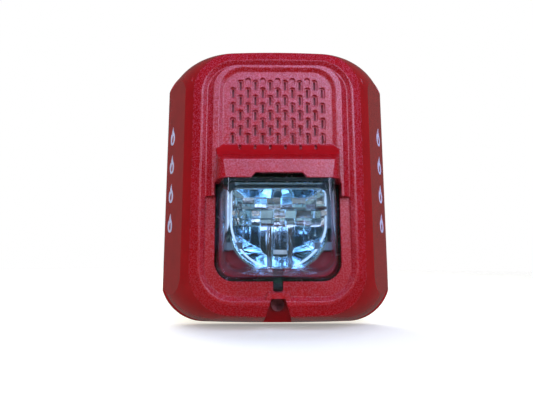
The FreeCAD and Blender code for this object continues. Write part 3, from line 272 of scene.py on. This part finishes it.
# grey behind the reflector, red in the two lower corners
def makeFramePlate():
    kit = framePlate
    finish = Finish("frameGrey")
    mottled = finish.noise(kit["mottle"], 4.0, 0.6)
    corner = outsideU(finish).over(*kit["redBeyond"]) * (1.0 - finish.axis("Z").over(*kit["redBelow"]))
    tone = finish.blend(mottled.over(*cloudy), kit["grey"], kit["pale"])
    tone = finish.blend(corner, tone, kit["red"])
    return finish.surface(finish.principled({"Base Color": tone,
                                             "Roughness": kit["rough"] + mottled * kit["roughMottle"],
                                             "Normal": finish.bump(mottled, kit["waveDepth"],
                                                                   kit["waveStrength"])}))


clear = {"dust": 900, "dusty": (0.62, 0.8), "roughDust": 0.10, "ripples": 70, "rippleStrength": 0.5,
         "wall": (-0.5 * mm, 1.5 * mm)}


# ripple in millimetres; thin and thinWall: how much light passes unbent inside the U and outside it
def makeClear(name, tint, rough, refraction, ripple, thin=0.0, thinWall=0.0):
    finish = Finish(name)
    dust = finish.noise(clear["dust"], 3.0, 0.7)
    normal = finish.bump(finish.noise(clear["ripples"], 1.0), ripple * mm, clear["rippleStrength"])
    glass = finish.principled({"Base Color": tint, "Transmission Weight": 1.0, "IOR": refraction,
                               "Roughness": rough + dust.over(*clear["dusty"]) * clear["roughDust"],
                               "Normal": normal})
    straight = finish.node("ShaderNodeBsdfTransparent", {}, {"Color": tint})
    shadow = finish.node("ShaderNodeLightPath", output="Is Shadow Ray")
    bare = outsideU(finish).over(*clear["wall"]) * (thinWall - thin) + thin
    return finish.surface(finish.node("ShaderNodeMixShader", {},
                                      {0: shadow * (1.0 - bare) + bare, 1: glass, 2: straight}))


board = {
    "mask": colour(14, 70, 38), "track": colour(30, 110, 62), "stain": colour(8, 45, 25),
    "tin": colour(190, 190, 185), "tracks": 90.0, "pads": 260, "relief": 0.03 * mm,
}


def makeBoard():
    finish = Finish("boardGreen")
    flat = finish.node("ShaderNodeCombineXYZ", {}, {"X": finish.axis("X"), "Y": finish.axis("Z")})
    tracks = finish.node("ShaderNodeTexBrick", {"offset": 0.5}, {
        "Vector": flat, "Scale": board["tracks"], "Mortar Size": 0.012, "Mortar Smooth": 0.1,
        "Brick Width": 0.6, "Row Height": 0.28}, output="Fac")
    pads = 1.0 - finish.cells(board["pads"]).over(0.16, 0.2)
    stain = finish.noise(60, 3.0)
    tone = finish.blend(tracks, board["mask"], board["track"])
    tone = finish.blend(stain * 0.3, tone, board["stain"])
    tone = finish.blend(pads, tone, board["tin"])
    return finish.surface(finish.principled({"Base Color": tone, "Roughness": 0.32 + stain * 0.12,
                                             "Metallic": pads * 0.9,
                                             "Normal": finish.bump(tracks + pads, board["relief"], 0.8)}))


winding = {"gap": colour(96, 38, 18), "copper": colour(196, 104, 58), "turns": 900.0, "relief": 0.08 * mm}


def makeWinding():
    finish = Finish("copperWire")
    turns = finish.node("ShaderNodeTexWave", {"bands_direction": "Y"},
                        {"Vector": finish.place, "Scale": winding["turns"], "Distortion": 0.4})
    tone = finish.blend(turns, winding["gap"], winding["copper"])
    return finish.surface(finish.principled({"Base Color": tone, "Metallic": 0.85,
                                             "Roughness": 0.25 + finish.noise(300) * 0.1,
                                             "Normal": finish.bump(turns, winding["relief"], 1.0)}))


# a dark sleeve with a pale stripe along it, and a bare metal top
sleeve = {
    "blue": colour(22, 30, 66), "stripe": colour(170, 176, 190), "metal": colour(190, 190, 192),
    "stripeFrom": 38.6 * mm, "stripeTo": 40.4 * mm, "stripeFade": 0.1 * mm,
    "metalFrom": 11.55 * mm, "metalFade": 0.15 * mm,
}


def makeSleeve():
    finish = Finish("capacitorSleeve")
    across = finish.axis("X")
    stripe = (across.over(sleeve["stripeFrom"], sleeve["stripeFrom"] + sleeve["stripeFade"])
              * (1.0 - across.over(sleeve["stripeTo"], sleeve["stripeTo"] + sleeve["stripeFade"])))
    bare = finish.axis("Z").over(sleeve["metalFrom"], sleeve["metalFrom"] + sleeve["metalFade"])
    dust = finish.noise(240, 3.0)
    tone = finish.blend(stripe, sleeve["blue"], sleeve["stripe"])
    tone = finish.blend(bare, tone, sleeve["metal"])
    return finish.surface(finish.principled({"Base Color": tone, "Roughness": 0.24 + dust * 0.15,
                                             "Metallic": bare,
                                             "Normal": finish.bump(dust, 0.02 * mm, 0.5)}))


# one finish for each material slot of the record
finishes = {
    "red_shell": makeRedShell(),
    "clear_lens": makeClear("clearLens", (0.90, 0.98, 1.0, 1.0), 0.015, 1.54, 0.10, 0.10, 0.6),
    "mirror_chrome": makeMirror(),
    "tube_glass": makeClear("tubeGlass", (0.95, 0.98, 1.0, 1.0), 0.02, 1.48, 0.05),
    "lead_metal": makeMetal("leadMetal", colour(200, 200, 196), colour(150, 148, 140), 0.3),
    "red_baffle": makePlastic("redBaffle", colour(128, 10, 18), colour(96, 6, 12), 0.5),
    "frame_grey": makeFramePlate(),
    "black_plastic": makePlastic("blackPlastic", colour(34, 34, 36), colour(22, 22, 24), 0.5),
    "disc_brass": makeMetal("discBrass", colour(212, 176, 104), colour(176, 132, 70), 0.28,
                            (200, 200, 200)),
    "ceramic_white": makePlastic("ceramicWhite", colour(222, 218, 208), colour(200, 196, 186), 0.55),
    "board_green": makeBoard(),
    "capacitor_sleeve": makeSleeve(),
    "ferrite": makePlastic("ferrite", colour(52, 52, 54), colour(34, 34, 36), 0.6, 1200, 0.06),
    "copper_wire": makeWinding(),
    "chip_black": makePlastic("chipBlack", colour(30, 30, 32), colour(20, 20, 22), 0.42),
    "tin_brass": makeMetal("tinBrass", colour(206, 196, 164), colour(166, 150, 112), 0.3),
    "grey_cover": makePlastic("greyCover", colour(74, 75, 78), colour(56, 57, 60), 0.5, 1500, 0.05),
    "screw_steel": makeMetal("screwSteel", colour(196, 198, 200), colour(140, 142, 146), 0.28),
    "screw_dark": makeMetal("screwDark", colour(226, 146, 144), colour(170, 104, 104), 0.42,
                            (300, 300, 300)),
    "white_slider": makePlastic("whiteSlider", colour(120, 128, 138), colour(98, 106, 118), 0.4),
    "dial_white": makePlastic("dialWhite", colour(224, 222, 214), colour(204, 200, 190), 0.4),
    "plate_white": makePlastic("plateWhite", colour(222, 220, 212), colour(204, 201, 192), 0.5, 1400, 0.05),
    "insert_brass": makeMetal("insertBrass", colour(214, 178, 102), colour(170, 130, 64), 0.25),
    "block_black": makePlastic("blockBlack", colour(36, 36, 38), colour(24, 24, 26), 0.46),
    "spring_steel": makeMetal("springSteel", colour(206, 204, 196), colour(160, 156, 148), 0.2),
    "clamp_steel": makeMetal("clampSteel", colour(190, 192, 196), colour(140, 142, 148), 0.3),
}
for part in frame["record"]["subparts"]:
    node = frame["nodes"][part["node"]]
    node.data.materials.clear()
    node.data.materials.append(finishes[part["material_slot"]])
print("finishes done:", len(finishes))


# flame pictograms down the two side panels
flame = {
    # the panel leans in from its foot at the wall to its top
    "foot": 59.7 * mm, "top": 47.2 * mm, "topDepth": 21.3 * mm, "middleDepth": 7.4 * mm,
    "height": 9.9 * mm, "heights": (27.0 * mm, 11.4 * mm, -4.2 * mm, -19.7 * mm),
    "stand": 0.02 * mm, "thickness": 0.06 * mm, "curveSteps": 8,
    # outlines in units of the flame's height, with the tips at the sharp points
    "outer": ((0.0, -0.50), (0.24, -0.43), (0.34, -0.17), (0.27, 0.06), (0.13, 0.24), (0.05, 0.50),
              (-0.12, 0.26), (-0.17, 0.10), (-0.25, 0.17), (-0.34, -0.10), (-0.25, -0.40)),
    "inner": ((0.0, -0.38), (0.11, -0.32), (0.14, -0.18), (0.05, 0.02), (-0.06, -0.08), (-0.13, -0.20),
              (-0.10, -0.33)),
    "sharp": (5, 8),
    "ink": colour(206, 206, 226), "worn": colour(176, 176, 204),
}


def makeFlameInk():
    finish = Finish("flameInk")
    wear = finish.noise(700, 3.0, 0.7)
    tone = finish.blend(wear.over(0.45, 0.75), flame["ink"], flame["worn"])
    return finish.surface(finish.principled({"Base Color": tone, "Roughness": 0.38 + wear * 0.15,
                                             "Normal": finish.bump(wear, 0.01 * mm, 0.5)}))


# one upright flame around the origin, drawn as a flat curve and made a mesh
def flameMesh(name):
    curve = bpy.data.curves.new(name, "CURVE")
    curve.dimensions = "2D"
    curve.fill_mode = "BOTH"
    curve.extrude = flame["thickness"] / 2
    curve.resolution_u = flame["curveSteps"]
    for outline in ("outer", "inner"):
        spline = curve.splines.new("BEZIER")
        spline.bezier_points.add(len(flame[outline]) - 1)
        spline.use_cyclic_u = True
        for i, (point, (x, y)) in enumerate(zip(spline.bezier_points, flame[outline])):
            point.co = (x * flame["height"], y * flame["height"], 0.0)
            sharp = outline == "outer" and i in flame["sharp"]
            point.handle_left_type = point.handle_right_type = "VECTOR" if sharp else "AUTO"
    holder = bpy.data.objects.new("flameCurve", curve)
    scene.collection.objects.link(holder)
    bpy.context.view_layer.update()
    mesh = bpy.data.meshes.new_from_object(holder.evaluated_get(bpy.context.evaluated_depsgraph_get()))
    bpy.data.objects.remove(holder)
    return mesh


def addFlame(side, count, height, material):
    name = f"flame_{side}_{count}"
    mesh = flameMesh(name)
    sign = 1 if side == "right" else -1
    lean = (flame["foot"] - flame["top"]) / flame["topDepth"]
    across = Vector((sign * lean, 1.0, 0.0)).normalized() * sign
    up = Vector((0.0, 0.0, 1.0))
    out = across.cross(up)
    depth = flame["middleDepth"]
    middle = Vector((sign * (flame["foot"] - lean * depth), -depth, height)) + out * flame["stand"]
    mesh.transform(Matrix.Translation(middle) @ Matrix((across, up, out)).transposed().to_4x4())
    piece = bpy.data.objects.new(name, mesh)
    scene.collection.objects.link(piece)
    mesh.materials.clear()
    mesh.materials.append(material)
    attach(piece, "head")


flameInk = makeFlameInk()
for side in ("left", "right"):
    for count, height in enumerate(flame["heights"], start=1):
        addFlame(side, count, height, flameInk)
print("flames done")


view = {
    "place": (-8.0 * mm, -216.0 * mm, -37.3 * mm), "towards": (0.0140, 0.98983, 0.14159),
    "lens": 27.0, "nearest": 5 * mm,
}


def addCamera():
    data = bpy.data.cameras.new("camera")
    data.lens = view["lens"]
    data.clip_start = view["nearest"]
    camera = bpy.data.objects.new("camera", data)
    camera.location = view["place"]
    camera.rotation_euler = Vector(view["towards"]).to_track_quat("-Z", "Y").to_euler()
    scene.collection.objects.link(camera)
    scene.camera = camera


floor = {
    "height": cadBox[0].z - 0.4 * mm, "radius": 1.2, "segments": 96,
    # it fades into the white surroundings between these distances
    "fadeFrom": 0.22, "fadeTo": 1.14,
    "cream": colour(222, 220, 198), "paleCream": colour(228, 226, 204), "rough": 0.9,
    # a glow for the camera alone, with a soft shade close to the object
    "glow": 0.60, "shadeReach": 45 * mm, "shadeOpen": (0.3, 0.95), "shadeLeast": 0.45,
}


def addFloor():
    mesh = bpy.data.meshes.new("floor")
    shape = bmesh.new()
    bmesh.ops.create_circle(shape, cap_ends=True, segments=floor["segments"], radius=floor["radius"],
                            matrix=Matrix.Translation((0.0, 0.0, floor["height"])))
    shape.to_mesh(mesh)
    shape.free()
    finish = Finish("paleFloor")
    distance = finish.node("ShaderNodeVectorMath", {"operation": "LENGTH"}, {0: finish.place},
                           output="Value")
    tone = finish.blend(finish.noise(300, 3.0), floor["cream"], floor["paleCream"])
    seen = finish.node("ShaderNodeLightPath", output="Is Camera Ray")
    space = finish.node("ShaderNodeAmbientOcclusion", {"samples": 12}, {"Distance": floor["shadeReach"]},
                        output="AO")
    shade = floor["shadeLeast"] + space.over(*floor["shadeOpen"]) * (1.0 - floor["shadeLeast"])
    mesh.materials.append(finish.surface(finish.principled({
        "Base Color": tone, "Roughness": floor["rough"], "Specular IOR Level": 0.0,
        "Emission Color": finish.blend(seen * shade, black, white),
        "Emission Strength": floor["glow"],
        "Alpha": 1.0 - distance.over(floor["fadeFrom"], floor["fadeTo"])})))
    piece = bpy.data.objects.new("floor", mesh)
    piece.visible_glossy = False
    scene.collection.objects.link(piece)


lamps = {
    # place, size, watts, colour, seen in gloss
    "window": ((0.14, -0.80, 0.66), (0.90, 0.46), 7.6, (0.44, 0.56, 1.0), True),
    "right": ((0.40, -0.84, 0.32), (0.34, 0.40), 3.6, (0.66, 0.72, 1.0), True),
    "side": ((0.72, -0.66, 0.30), (0.46, 0.60), 2.4, (0.50, 0.60, 1.0), True),
    "left": ((-0.48, -0.80, 0.30), (0.20, 0.44), 2.4, (0.66, 0.74, 1.0), True),
    "fill": ((-0.10, -0.90, -0.02), (0.90, 0.90), 4.9, (1.0, 0.88, 0.84), False),
    "back": ((-0.45, 0.85, 0.35), (0.80, 0.80), 11.0, (1.0, 0.98, 0.96), False),
}


def addLamps():
    for name, (place, size, watts, tint, glossy) in lamps.items():
        data = bpy.data.lights.new(name, "AREA")
        data.shape = "RECTANGLE"
        data.size, data.size_y = size
        data.energy = watts
        data.color = tint
        lamp = bpy.data.objects.new(name, data)
        lamp.location = place
        lamp.rotation_euler = (Vector(place) * -1).to_track_quat("-Z", "Y").to_euler()
        lamp.visible_glossy = glossy
        lamp.visible_transmission = glossy
        scene.collection.objects.link(lamp)


# linear light from around: dim in front, paler behind, and white where the camera looks past the object
studio = {
    "frontLow": (0.05, 0.05, 0.055, 1.0), "frontHigh": (0.035, 0.045, 0.07, 1.0),
    "behind": (0.17, 0.155, 0.15, 1.0), "behindFrom": (-0.15, 0.75), "highFrom": (-0.2, 0.7),
}


def addWorld():
    world = bpy.data.worlds.new("studio")
    finish = Finish("studio", world)
    direction = finish.node("ShaderNodeTexCoord", output="Generated")
    level = finish.blend(finish.axis("Z", direction).over(*studio["highFrom"]),
                         studio["frontLow"], studio["frontHigh"])
    level = finish.blend(finish.axis("Y", direction).over(*studio["behindFrom"]), level, studio["behind"])
    seen = finish.node("ShaderNodeLightPath", output="Is Camera Ray")
    glow = finish.node("ShaderNodeBackground", {}, {"Color": finish.blend(seen, level, white)})
    scene.world = finish.surface(glow, "ShaderNodeOutputWorld")


addCamera()
addFloor()
addLamps()
addWorld()
scene.view_settings.view_transform = "Standard"
print("stage done")
